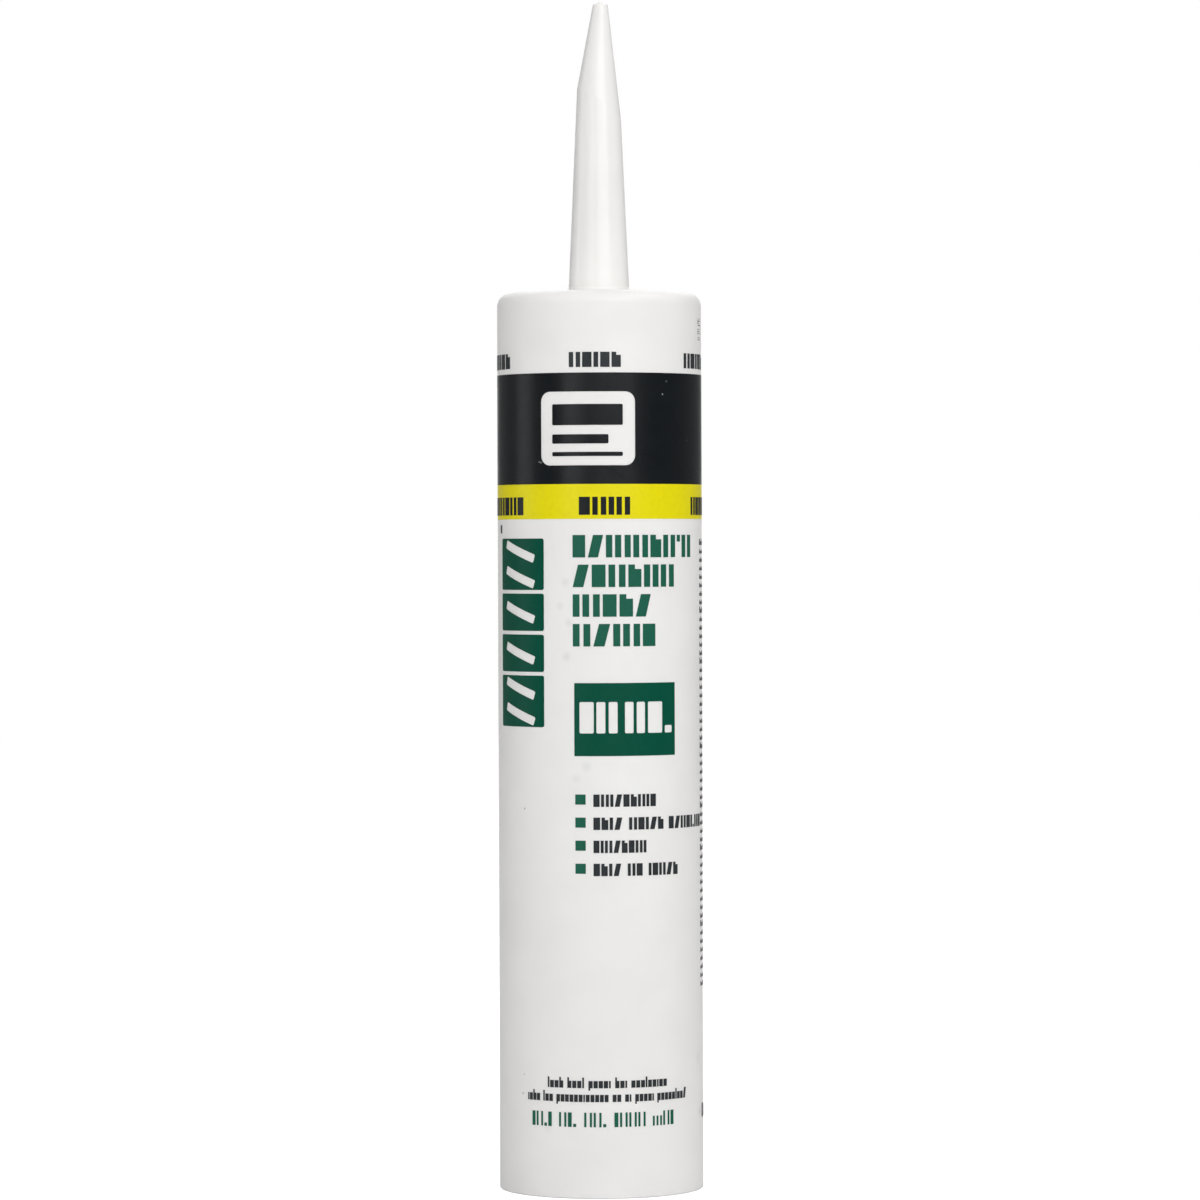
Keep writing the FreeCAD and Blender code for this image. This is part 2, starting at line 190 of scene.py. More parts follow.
# The small print of the back, as two columns of plain bars: their left edges, the rows' measures, the
# widths of the bars in the kinds of row, and the rows of each paragraph.
BACK_COLUMNS = (76.0, -178.0)
BACK_TOP = 158.0
BACK_PITCH = 2.05
BACK_ROW_HEIGHT = 1.1
BACK_HEADING_HEIGHT = 1.35 * BACK_ROW_HEIGHT
BACK_LOW_BARS = 0.66
BACK_SMALL = 1.0
BACK_SMALL_GAP = 0.28
BACK_WORD_GAP = 0.9
BACK_ROWS = (
    (0.4, 0.7, 0.4, 0.6, 1.1, 5.6, 2.2, 6.4, 4.3, 2.6, 4.6),
    (0.3, 0.3, 0.6, 0.5, 1.2, 2.4, 7.1, 3.3, 1.6, 6.2, 5.3),
    (0.6, 0.4, 0.4, 0.9, 1.1, 4.8, 2.9, 5.5, 3.4, 2.9, 4.4),
    (0.3, 0.7, 0.3, 0.4, 1.1, 3.8, 1.8, 5.3, 7.4, 2.7, 3.0),
)
BACK_LAST_ROW = (0.4, 0.6, 0.4, 1.2, 2.6, 5.8, 3.1)
BACK_HEADING = (0.8, 0.8, 0.6, 0.9, 1.1, 4.8, 6.3)
BACK_PARAGRAPHS = (6, 4, 8, 5, 3, 7, 6)

# The filler's date mark: small sprayed dots, in columns of five.
DOT_MARK = (205.4, 73.5)
DOT_SIZE = 0.24
DOT_PITCH = 0.5
DOT_COLUMNS = (0b11101, 0b10110, 0, 0b11011, 0b01111, 0b10101, 0, 0b11110, 0b01011, 0b11111, 0b10010)
DOT_ROWS = 5


# Small tools for modelling.

def deselect():
    """Nothing selected, so that the next operator acts on what is added or picked alone."""
    bpy.ops.object.select_all(action="DESELECT")


def select(*pieces):
    """These pieces selected and no others, the first of them active."""
    deselect()
    for piece in pieces:
        piece.select_set(True)
    bpy.context.view_layer.objects.active = pieces[0]


def edit(piece):
    """Opens one piece for editing, all of it deselected."""
    select(piece)
    bpy.ops.object.mode_set(mode="EDIT")
    bpy.ops.mesh.select_all(action="DESELECT")


def leave():
    """Back from editing."""
    bpy.ops.object.mode_set(mode="OBJECT")


def pick(piece, kind, test):
    """Selects the open piece's points, edges or faces that pass a test."""
    bpy.ops.mesh.select_mode(type={"verts": "VERT", "edges": "EDGE", "faces": "FACE"}[kind])
    bpy.ops.mesh.select_all(action="DESELECT")
    mesh = bmesh.from_edit_mesh(piece.data)
    for part in getattr(mesh, kind):
        if test(part):
            part.select_set(True)
    mesh.select_flush_mode()
    bmesh.update_edit_mesh(piece.data)


def apply_modifier(piece, kind, **settings):
    """Adds a modifier to a piece and applies it."""
    select(piece)
    modifier = piece.modifiers.new(kind.title(), kind)
    for name, value in settings.items():
        setattr(modifier, name, value)
    bpy.ops.object.modifier_apply(modifier=modifier.name)


def settle(*pieces):
    """Puts the pieces' places, turns and sizes into their meshes."""
    select(*pieces)
    bpy.ops.object.transform_apply(location=True, rotation=True, scale=True)


def copy_of(piece):
    """A second piece with a mesh of its own."""
    copy = piece.copy()
    copy.data = piece.data.copy()
    bpy.context.collection.objects.link(copy)
    return copy


def smooth(piece):
    """Smooth shading with crisp corners, where broad faces keep their own direction beside small rounds."""
    select(piece)
    bpy.ops.object.shade_smooth_by_angle(angle=math.radians(SMOOTH_ANGLE))
    apply_modifier(piece, "WEIGHTED_NORMAL", keep_sharp=True)


def turned(name, corners, rounds):
    """A half outline of (radius, height) corners spun once round Z.

    rounds gives corners, by their number, an arc of (radius, segments); one segment makes a bevel.
    """
    deselect()
    bpy.ops.mesh.primitive_plane_add(size=MM)
    piece = bpy.context.object
    piece.name = name
    piece.data.name = name
    bpy.ops.object.mode_set(mode="EDIT")
    bpy.ops.mesh.select_mode(type="VERT")
    bpy.ops.mesh.merge(type="CENTER")
    points = [Vector((radius * MM, 0, height * MM)) for radius, height in corners]
    bpy.ops.transform.translate(value=points[0])
    for last, point in zip(points, points[1:]):
        bpy.ops.mesh.extrude_region_move(TRANSFORM_OT_translate={"value": point - last})
    for number, (radius, segments) in rounds.items():
        before = (points[number - 1] - points[number]).normalized()
        after = (points[number + 1] - points[number]).normalized()
        reach = radius * MM / math.tan(before.angle(after) / 2)
        place = points[number]
        pick(piece, "verts", lambda v, place=place: (v.co - place).length < SAME_PLACE)
        bpy.ops.mesh.bevel(offset=reach, segments=segments, affect="VERTICES")
    bpy.ops.mesh.select_all(action="SELECT")
    bpy.ops.mesh.spin(steps=AROUND, angle=math.radians(FULL_TURN), center=(0, 0, 0), axis=(0, 0, 1))
    bpy.ops.mesh.select_all(action="SELECT")
    bpy.ops.mesh.remove_doubles(threshold=MERGE_DISTANCE)
    bpy.ops.mesh.normals_make_consistent(inside=False)
    leave()
    return piece


def make_cartridge():
    """Barrel, shoulder and nozzle in one moulding, its steep tip shaped by a leaning cone."""
    above_tip = NOZZLE_TOP + CUT_MARGIN
    under_shoulder = BARREL_LENGTH - SHOULDER_WALL
    passage_bend = NOZZLE_TOP - PASSAGE_BEND
    passage_end = NOZZLE_TOP - 2 * TIP_CLOSURE
    moulding = turned(
        "cartridge_moulding",
        (
            (0, above_tip),
            (NOZZLE_RADIUS - (above_tip - BARREL_LENGTH) * NOZZLE_SLOPE, above_tip),
            (NOZZLE_RADIUS, BARREL_LENGTH),
            (BARREL_RADIUS, BARREL_LENGTH),
            (BARREL_RADIUS, 0),
            (BORE_RADIUS, 0),
            (BORE_RADIUS, under_shoulder),
            (NOZZLE_RADIUS - NOZZLE_WALL, under_shoulder),
            (NOZZLE_RADIUS - NOZZLE_WALL - (passage_bend - under_shoulder) * NOZZLE_SLOPE, passage_bend),
            (TIP_RADIUS / 2, passage_end),
            (0, passage_end),
        ),
        {
            2: (NOZZLE_FILLET, 8),
            3: (SHOULDER_ROUND, 16),
            4: (RIM_ROUND, 5),
            5: (RIM_LEAD, 1),
            6: (SHOULDER_BEVEL, 3),
        },
    )
    tip = TIP_PIVOT / math.cos(math.radians(TIP_LEAN))
    clear_of_shoulder = BARREL_LENGTH + SHOULDER_CLEARANCE - NOZZLE_TOP + TIP_PIVOT
    clear_radius = 2 * BARREL_RADIUS
    tool = turned(
        "tip_tool",
        (
            (0, tip + GATE_HEIGHT),
            (GATE_RADIUS, tip + GATE_HEIGHT),
            (GATE_RADIUS, tip),
            (TIP_RADIUS, tip),
            (TIP_RADIUS + (tip - clear_of_shoulder) * TIP_SLOPE, clear_of_shoulder),
            (clear_radius, clear_of_shoulder),
            (clear_radius, -NOZZLE_TOP),
            (0, -NOZZLE_TOP),
        ),
        {1: (GATE_HEIGHT / 3, 2), 3: (TIP_ROUND, 8)},
    )
    tool.rotation_euler.y = math.radians(TIP_LEAN)
    tool.location.z = (NOZZLE_TOP - TIP_PIVOT) * MM
    settle(tool)
    apply_modifier(moulding, "BOOLEAN", operation="INTERSECT", object=tool, solver="EXACT")
    bpy.data.objects.remove(tool)
    crease_low, crease_high = ((NOZZLE_TOP - depth) * MM for depth in CREASE_ZONE)
    edit(moulding)
    bpy.ops.mesh.select_mode(type="EDGE")
    bpy.ops.mesh.edges_select_sharp(sharpness=math.radians(CREASE_ANGLE))
    mesh = bmesh.from_edit_mesh(moulding.data)
    for edge in mesh.edges:
        if edge.select and not all(crease_low < v.co.z < crease_high for v in edge.verts):
            edge.select_set(False)
    bmesh.update_edit_mesh(moulding.data)
    bpy.ops.mesh.mark_sharp()
    leave()
    smooth(moulding)
    return moulding


def make_plunger():
    """The follower: a cup open to the rear, with a guiding lip behind and a wiping lip in front."""
    skirt = LIP_RADIUS - PLUNGER_RELIEF
    cup = skirt - PLUNGER_WALL
    wiper_rear = PLUNGER_FRONT - PLUNGER_NOSE - WIPER_LIP
    floor = PLUNGER_FRONT - PLUNGER_CROWN
    plunger = turned(
        "plunger_moulding",
        (
            (0, PLUNGER_FRONT),
            (LIP_RADIUS - PLUNGER_NOSE, PLUNGER_FRONT),
            (LIP_RADIUS, PLUNGER_FRONT - PLUNGER_NOSE),
            (LIP_RADIUS, wiper_rear),
            (skirt, wiper_rear - PLUNGER_RELIEF),
            (skirt, PLUNGER_REAR + GUIDE_LIP + PLUNGER_RELIEF),
            (LIP_RADIUS, PLUNGER_REAR + GUIDE_LIP),
            (LIP_RADIUS, PLUNGER_REAR),
            (cup, PLUNGER_REAR),
            (cup, floor),
            (0, floor),
        ),
        {
            1: (NOSE_EDGE_ROUND, 3),
            7: (REAR_EDGE_ROUND, 3),
            8: (REAR_EDGE_ROUND, 3),
            9: (CUP_ROUND, 5),
        },
    )
    smooth(plunger)
    return plunger


def make_sealant():
    """The column of paste between the plunger and the shoulder."""
    foot = sealant_low.z / MM
    top = sealant_high.z / MM
    column = turned(
        "sealant_column",
        ((0, top), (SEALANT_RADIUS, top), (SEALANT_RADIUS, foot), (0, foot)),
        {1: (SHOULDER_BEVEL, 5)},
    )
    smooth(column)
    return column


# Print. Every film is laid out flat, in the plane y = 0 with its thickness towards -Y, and then bent
# round the barrel. Words are rows of plain upright shapes as wide and as high as letters.

def along(angle):
    """Distance along the barrel's outside from the front line."""
    return BARREL_RADIUS * math.radians(angle)


def film(name, start, end, low, high, layer=0):
    """A thin flat plate of ink between two places along the barrel and two heights."""
    deselect()
    bpy.ops.mesh.primitive_cube_add(
        size=1,
        location=((start + end) / 2 * MM, -(layer + 0.5) * INK_FILM * MM, (low + high) / 2 * MM),
        scale=((end - start) * MM, INK_FILM * MM, (high - low) * MM),
    )
    plate = bpy.context.object
    plate.name = name
    plate.data.name = name
    settle(plate)
    return plate


def round_corners(plate, radius, segments=6):
    """Rounds the four corners of a flat plate."""
    edit(plate)
    pick(plate, "edges", lambda e: abs((e.verts[0].co - e.verts[1].co).normalized().y) > 0.99)
    bpy.ops.mesh.bevel(offset=radius * MM, segments=segments, affect="EDGES")
    leave()


def cut_window(plate, x, z, width, height, radius, tilt=0.0):
    """Cuts a window through a flat plate, by its middle, size, corner radius and tilt.

    The cutter is WINDOW_DEPTH films deep, so it reaches well past both sides.
    """
    window = film("window", -width / 2, width / 2, -height / 2, height / 2)
    round_corners(window, radius)
    window.scale.y = WINDOW_DEPTH
    window.rotation_euler.y = math.radians(tilt)
    window.location = (x * MM, 2 * INK_FILM * MM, z * MM)
    settle(window)
    apply_modifier(plate, "BOOLEAN", operation="DIFFERENCE", object=window, solver="EXACT")
    bpy.data.objects.remove(window)


def join(name, pieces):
    """Several pieces made one."""
    select(*pieces)
    bpy.ops.object.join()
    joined = bpy.context.object
    joined.name = name
    joined.data.name = name
    return joined


def thin_print(plate):
    """Marks a plate as fine print, whose ink lies thinner than that of the broad fields."""
    marks = plate.data.attributes.new(THIN_INK, "FLOAT", "FACE")
    marks.data.foreach_set("value", [1.0] * len(plate.data.polygons))
    return plate


def stock_shape(name, *plates):
    """A shape that words are made of, in a cell of 1 by 1 mm; plates are (start, end, low, high)."""
    return join(name, [film(name, *plate) for plate in plates])


def lean(shape, shift):
    """Moves the top of a shape aside."""
    edit(shape)
    pick(shape, "verts", lambda v: v.co.z > 0.9 * MM)
    bpy.ops.transform.translate(value=(shift * MM, 0, 0))
    leave()
    return shape


def make_stock():
    """The shapes that stand for letters: key, shape and width against a full one."""
    return {
        "b": (stock_shape("block", (0, 1, 0, 1)), 0.8),
        "p": (stock_shape("pair", (0, 0.39, 0, 1), (0.61, 1, 0, 1)), 1.0),
        "u": (stock_shape("step_down", (0, 0.5, 0, 1), (0.5, 1, 0, 0.8)), 0.8),
        "v": (stock_shape("step_up", (0, 0.5, 0.2, 1), (0.5, 1, 0, 1)), 0.8),
        "l": (lean(stock_shape("lean", (0, 0.66, 0, 1)), 0.34), 0.95),
        "n": (stock_shape("narrow", (0, 1, 0, 1)), 0.4),
        "d": (stock_shape("high_dot", (0, 1, 0.7, 1)), 0.3),
        ".": (stock_shape("low_dot", (0, 1, 0, 0.22)), 0.3),
        "o": (stock_shape("low_block", (0, 1, 0, 0.68)), 0.8),
        "i": (stock_shape("low_narrow", (0, 1, 0, 0.68)), 0.34),
        "t": (stock_shape("tall_narrow", (0, 1, 0, 1)), 0.34),
        "h": (stock_shape("tall_step", (0, 0.42, 0, 1), (0.42, 1, 0, 0.68)), 0.8),
        "g": (stock_shape("low_step", (0, 0.42, -0.22, 0.68), (0.42, 1, 0, 0.68)), 0.8),
        "f": (stock_shape("thin_pair", (0, 0.28, 0, 1), (0.72, 1, 0, 1)), 0.8),
        "e": (stock_shape("low_thin_pair", (0, 0.2, 0, 0.68), (0.4, 0.6, 0, 0.68), (0.8, 1, 0, 0.68)), 1.1),
    }


def line_of_shapes(stock, keys, start, end, low, height, layer=0):
    """One printed line: the keys' shapes set side by side so that they fill the line from start to end.

    Lines on the first layer are fine print; on the second, over the yellow band, the ink is full.
    """
    widths = [WORD_GAP if key == " " else stock[key][1] for key in keys]
    unit = (end - start) / (sum(widths) + LETTER_GAP * (len(keys) - 1))
    place = start
    letters = []
    for key, width in zip(keys, widths):
        if key != " ":
            letter = copy_of(stock[key][0])
            letter.location = (place * MM, -layer * INK_FILM * MM, low * MM)
            letter.scale = (width * unit, 1, height)
            letters.append(letter)
        place += (width + LETTER_GAP) * unit
    settle(*letters)
    line = join("line", letters)
    return line if layer else thin_print(line)


def slice_upright(plate):
    """Cuts a flat plate into upright strips, narrow enough to bend smoothly."""
    edit(plate)
    strips = int(FULL_TURN / SLICE_ANGLE)
    for k in range(1, strips):
        place = along((k - strips / 2) * SLICE_ANGLE) * MM
        bpy.ops.mesh.select_all(action="SELECT")
        bpy.ops.mesh.bisect(plane_co=(place, 0, 0), plane_no=(1, 0, 0))
    leave()


def wrap(plate):
    """Bends flat print round the barrel."""
    start = min(v.co.x for v in plate.data.vertices)
    end = max(v.co.x for v in plate.data.vertices)
    apply_modifier(
        plate,
        "SIMPLE_DEFORM",
        deform_method="BEND",
        deform_axis="Z",
        angle=(end - start) / (BARREL_RADIUS * MM),
    )
    plate.location.y = -BARREL_RADIUS * MM
    settle(plate)


def make_band(name, low, high):
    """A plate that goes all the way round."""
    half = along(FULL_TURN / 2)
    return film(name, -half, half, low, high)


def open_ends(band):
    """Takes a flat band's two end faces away, where its ends will meet at the back."""
    end = along(FULL_TURN / 2) * MM
    edit(band)
    pick(band, "faces", lambda f: abs(abs(f.calc_center_median().x) - end) < MERGE_DISTANCE)
    bpy.ops.mesh.delete(type="FACE")
    leave()


def close_seam(piece):
    """Closes the ring where a band's two ends meet at the back."""
    edit(piece)
    bpy.ops.mesh.select_all(action="SELECT")
    bpy.ops.mesh.remove_doubles(threshold=SEAM_DISTANCE)
    bpy.ops.mesh.normals_make_consistent(inside=False)
    leave()


def make_yellow_ink():
    """The yellow band."""
    band = make_band("yellow_ink", YELLOW_LOW, YELLOW_HIGH)
    slice_upright(band)
    open_ends(band)
    wrap(band)
    close_seam(band)
    smooth(band)
    return band


def panel_arc(x):
    """Distance along the barrel of a point that lies x beside the front line, seen from the front."""
    return BARREL_RADIUS * math.asin(x / BARREL_RADIUS)


def row_of_bars(widths, height, shift=0):
    """One row of small print from x = 0 to the right: bars of these widths, one in three of them tall."""
    bars = []
    place = 0.0
    for number, width in enumerate(widths, shift):
        tall = number % 3 == 0
        bars.append(film("bar", place, place + width, 0, height if tall else height * BACK_LOW_BARS))
        place += width + (BACK_SMALL_GAP if width < BACK_SMALL else BACK_WORD_GAP)
    return thin_print(join("row", bars))


def make_back_print():
    """Two columns of small print: each kind of row is made once and copied down the columns."""
    rows = [row_of_bars(widths, BACK_ROW_HEIGHT, kind) for kind, widths in enumerate(BACK_ROWS)]
    last_row = row_of_bars(BACK_LAST_ROW, BACK_ROW_HEIGHT)
    heading = row_of_bars(BACK_HEADING, BACK_HEADING_HEIGHT)
    copies = []
    for column, start in enumerate(BACK_COLUMNS):
        low = BACK_TOP - BACK_PITCH
        for paragraph, count in enumerate(BACK_PARAGRAPHS):
            body = [rows[(k + paragraph + 2 * column) % len(rows)] for k in range(count)]
            for kind in (heading, *body, last_row):
                copy = copy_of(kind)
                copy.location = (along(start) * MM, 0, low * MM)
                copies.append(copy)
                low -= BACK_PITCH
    for kind in (*rows, last_row, heading):
        bpy.data.objects.remove(kind)
    settle(*copies)
    return join("back_print", copies)


def make_dot_mark():
    """The filler's date mark near the shoulder."""
    low, angle = DOT_MARK
    dots = []
    for column, pattern in enumerate(DOT_COLUMNS):
        for row in range(DOT_ROWS):
            if pattern >> row & 1:
                level = low + column * DOT_PITCH
                start = along(angle) + row * DOT_PITCH
                dots.append(film("dot", start, start + DOT_SIZE, level, level + DOT_SIZE))
    return thin_print(join("dot_mark", dots))


def make_black_ink(stock):
    """The black band with its clear panel, and all the dark words and rows."""
    band = make_band("black_band", YELLOW_HIGH, BLACK_HIGH)
    left = panel_arc(PANEL_ASIDE - PANEL_HALF_WIDTH)
    right = panel_arc(PANEL_ASIDE + PANEL_HALF_WIDTH)
    middle = (left + right) / 2
    level = (PANEL_LOW + PANEL_HIGH) / 2
    cut_window(band, middle, level, right - left, PANEL_HIGH - PANEL_LOW, PANEL_ROUND)
    prints = [band]
    for low, high, start, end in PANEL_BARS:
        bar = film("panel_bar", along(start), along(end), low, high)
        round_corners(bar, PANEL_BAR_ROUND, 3)
        prints.append(bar)
    low, high = COLOUR_WORDS
    keys, start, end = COLOUR_WORD
    for k in range(WORDS_AROUND):
        turn = FULL_TURN * k / WORDS_AROUND
        turn -= FULL_TURN if turn > FULL_TURN / 2 else 0
        prints.append(line_of_shapes(stock, keys, along(start + turn), along(end + turn), low, high - low))
    low, high = USE_WORDS
    for keys, start, end in USE_WORD_LINES:
        turn = -FULL_TURN if start > FULL_TURN / 2 else 0
        line = line_of_shapes(stock, keys, along(start + turn), along(end + turn), low, high - low, layer=1)
        prints.append(line)
    start = along(BULLET_TEXT_START)
    for k, (keys, end) in enumerate(BULLET_LINES):
        low = BULLET_TOP - k * BULLET_PITCH - BULLET_TEXT_HEIGHT
        prints.append(line_of_shapes(stock, keys, start, along(end), low, BULLET_TEXT_HEIGHT))
    for low, keys, start, end in SMALL_LINES:
        prints.append(line_of_shapes(stock, keys, along(start), along(end), low, SMALL_LINE_HEIGHT))
    for low, high, start, end in (SIDE_TICK, SIDE_MARK):
        prints.append(film("side_mark", along(start), along(end), low, high))
    prints.append(make_back_print())
    prints.append(make_dot_mark())
    ink = join("black_ink", prints)
    slice_upright(ink)
    open_ends(ink)
    wrap(ink)
    close_seam(ink)
    smooth(ink)
    return ink


def make_side_column():
    """Four big blocks one above another, with leaning slots in them."""
    left, right = (along(angle) for angle in SIDE_ANGLES)
    middle = (left + right) / 2
    pieces = []
    for low, high, slots in SIDE_BLOCKS:
        block = film("side_block", left, right, low, high)
        round_corners(block, SIDE_ROUND, 4)
        for step in range(slots):
            level = low + (high - low) * (step + 0.5) / slots
            slot = (SIDE_SLOT_LENGTH, SIDE_SLOT_WIDTH, SIDE_SLOT_ROUND, SIDE_SLOT_TILT)
            cut_window(block, middle, level, *slot)
        pieces.append(block)
    return join("side_column", pieces)


def make_green_panel():
    """The solid green panel with its clear blocks."""
    low, high, start, end = GREEN_PANEL
    panel = film("green_panel", along(start), along(end), low, high)
    for foot, top, left, right in GREEN_PANEL_WINDOWS:
        middle = along((left + right) / 2)
        cut_window(panel, middle, (foot + top) / 2, along(right - left), top - foot, GREEN_WINDOW_ROUND)
    return panel


def make_green_ink(stock):
    """Headline, side column, panel, bullets and the line near the foot."""
    prints = [make_side_column(), make_green_panel()]
    for k, (keys, end) in enumerate(HEADLINE):
        low = HEADLINE_TOP - HEADLINE_HEIGHT - k * HEADLINE_PITCH
        prints.append(line_of_shapes(stock, keys, along(HEADLINE_START), along(end), low, HEADLINE_HEIGHT))
    start, end = (along(angle) for angle in BULLET_ANGLES)
    for k in range(len(BULLET_LINES)):
        top = BULLET_TOP - k * BULLET_PITCH
        prints.append(thin_print(film("bullet", start, end, top - BULLET_SIZE, top)))
    low, high = FOOT_LINE
    keys, start, end = FOOT_WORDS
    prints.append(line_of_shapes(stock, keys, along(start), along(end), low, high - low))
    ink = join("green_ink", prints)
    slice_upright(ink)
    wrap(ink)
    smooth(ink)
    return ink


# Materials.

def linear(hex_colour):
    """An sRGB hex colour as Blender's linear numbers."""
    channels = []
    for k in (1, 3, 5):
        value = int(hex_colour[k:k + 2], 16) / 255
        channels.append(value / 12.92 if value <= 0.04045 else ((value + 0.055) / 1.055) ** 2.4)
    return (*channels, 1.0)


def add(tree, kind, inputs=None, **settings):
    """Adds a node; inputs maps a socket to a value, or to the output that feeds it."""
    new = tree.nodes.new(kind)
    for name, value in settings.items():
        setattr(new, name, value)
    for socket, value in (inputs or {}).items():
        if isinstance(value, bpy.types.NodeSocket):
            tree.links.new(value, new.inputs[socket])
        else:
            new.inputs[socket].default_value = value
    return new


def new_material(name):
    """An empty material and its node tree."""
    material = bpy.data.materials.new(name)
    material.use_nodes = True
    material.node_tree.nodes.clear()
    return material, material.node_tree


def finish_material(tree, shader):
    """Feeds the material's output."""
    add(tree, "ShaderNodeOutputMaterial", {"Surface": shader.outputs[0]})


def surface_point(angle, height):
    """A place on the barrel's outside, in metres."""
    turn = math.radians(angle)
    radius = BARREL_RADIUS * MM
    return (radius * math.sin(turn), -radius * math.cos(turn), height * MM)


def grain(tree, place, size, low, high, detail=2.0):
    """A soft random pattern whose lumps are size millimetres wide, as a value from low to high."""
    noise = add(tree, "ShaderNodeTexNoise", {"Vector": place, "Scale": 1 / (size * MM), "Detail": detail})
    return add(
        tree,
        "ShaderNodeMapRange",
        {"Value": noise.outputs["Fac"], "From Min": 0.3, "From Max": 0.7, "To Min": low, "To Max": high},
    ).outputs[0]


def spots(tree, place, marks):
    """How strongly the surface is marked, by round spots of (angle, height, radius, strength)."""
    total = None
    for angle, height, radius, strength in marks:
        reach = add(
            tree,
            "ShaderNodeVectorMath",
            {0: place, 1: surface_point(angle, height)},
            operation="DISTANCE",
        )
        spot = add(
            tree,
            "ShaderNodeMapRange",
            {
                "Value": reach.outputs["Value"],
                "From Min": 0,
                "From Max": radius * MM,
                "To Min": strength,
                "To Max": 0,
            },
            interpolation_type="SMOOTHSTEP",
        ).outputs[0]
        if total is None:
            total = spot
        else:
            total = add(tree, "ShaderNodeMath", {0: total, 1: spot}, operation="MAXIMUM").outputs[0]
    return total


def coated(tree, ground, *coats):
    """A ground colour under further ones, each given as (how much of it covers the rest, colour)."""
    for cover, colour in coats:
        # Sockets 6 and 7 and output 2 of a mix node are the ones for colours.
        ground = add(tree, "ShaderNodeMix", {0: cover, 6: ground, 7: colour}, data_type="RGBA").outputs[2]
    return ground


# Specks of dirt and faint ghosts of ink that the barrel picked up.
DARK_SPECKS = (
    (-47.3, 92.9, 0.35, 0.75),
    (-48.2, 29.1, 0.3, 0.5),
    (-49.4, 24.5, 0.35, 0.7),
)
INK_GHOSTS = (
    (-19.5, 147.2, 1.6, 0.10),
    (-22.5, 141.5, 1.5, 0.09),
    (-17.7, 137.5, 1.4, 0.10),
    (-18.9, 129.4, 1.7, 0.11),
    (-7.9, 103.2, 1.9, 0.09),
    (-13.6, 100.3, 1.7, 0.07),
)
SCUFFS = (
    (74.0, 19.1, 1.8, 0.16),
    (-31.3, 16.5, 1.6, 0.06),
    (71.0, 32.0, 2.2, 0.08),
)

# What settled on the inks.
DUST = (
    (37.5, 192.0, 0.28, 0.9),
    (40.3, 195.1, 0.35, 0.25),
    (-34.8, 175.8, 0.3, 0.5),
    (-34.0, 175.7, 0.3, 0.4),
    (-35.6, 175.9, 0.3, 0.4),
    (58.0, 181.0, 0.22, 0.3),
    (140.0, 188.0, 0.28, 0.6),
    (-120.0, 178.0, 0.28, 0.5),
)

# Flow waves are drawn out along the barrel; the mould's polish halves the roughness above the shoulder.
FLOW_STRETCH = (1, 1, 0.12)
FLOW_WIDTH = 9
NOZZLE_POLISH = 0.5
POLISH_FADE = 2.0


def make_hdpe():
    """High-density polyethylene, injection moulded in a blasted steel mould, filled white.

    It is satin and slightly translucent, with a broad soft highlight, a fine even grain and faint
    upright flow waves. The nozzle's part of the mould is polished, so it shines more sharply there.
    """
    material, tree = new_material("satin_white_hdpe")
    place = add(tree, "ShaderNodeTexCoord").outputs["Object"]
    stretched = add(tree, "ShaderNodeMapping", {"Vector": place, "Scale": FLOW_STRETCH}).outputs[0]
    colour = coated(
        tree,
        linear("#EFEEEC"),
        (grain(tree, place, 14, 0, 1), linear("#F3F2F0")),
        (spots(tree, place, INK_GHOSTS), linear("#3E5A4E")),
        (spots(tree, place, SCUFFS), linear("#6A6664")),
        (spots(tree, place, DARK_SPECKS), linear("#3A3634")),
    )
    height = add(tree, "ShaderNodeSeparateXYZ", {"Vector": place}).outputs["Z"]
    polish = add(
        tree,
        "ShaderNodeMapRange",
        {
            "Value": height,
            "From Min": BARREL_LENGTH * MM,
            "From Max": (BARREL_LENGTH + POLISH_FADE) * MM,
            "To Min": 1.0,
            "To Max": NOZZLE_POLISH,
        },
    ).outputs[0]
    roughness = add(
        tree,
        "ShaderNodeMath",
        {0: grain(tree, place, 6, 0.40, 0.48), 1: polish},
        operation="MULTIPLY",
    ).outputs[0]
    waves = add(
        tree,
        "ShaderNodeBump",
        {"Height": grain(tree, stretched, FLOW_WIDTH, 0, 1), "Strength": 1.0, "Distance": 0.00004},
    )
    texture = add(
        tree,
        "ShaderNodeBump",
        {
            "Height": grain(tree, place, 0.5, 0, 1, 3.0),
            "Strength": 1.0,
            "Distance": 0.000006,
            "Normal": waves.outputs[0],
        },
    )
    shader = add(
        tree,
        "ShaderNodeBsdfPrincipled",
        {
            "Base Color": colour,
            "Roughness": roughness,
            "IOR": 1.5,
            "Specular IOR Level": 0.4,
            "Subsurface Weight": 0.25,
            "Subsurface Radius": (1.0, 0.95, 0.9),
            "Subsurface Scale": 1.2 * MM,
            "Normal": texture.outputs[0],
        },
        subsurface_method="RANDOM_WALK",
    )
    finish_material(tree, shader)
    return material


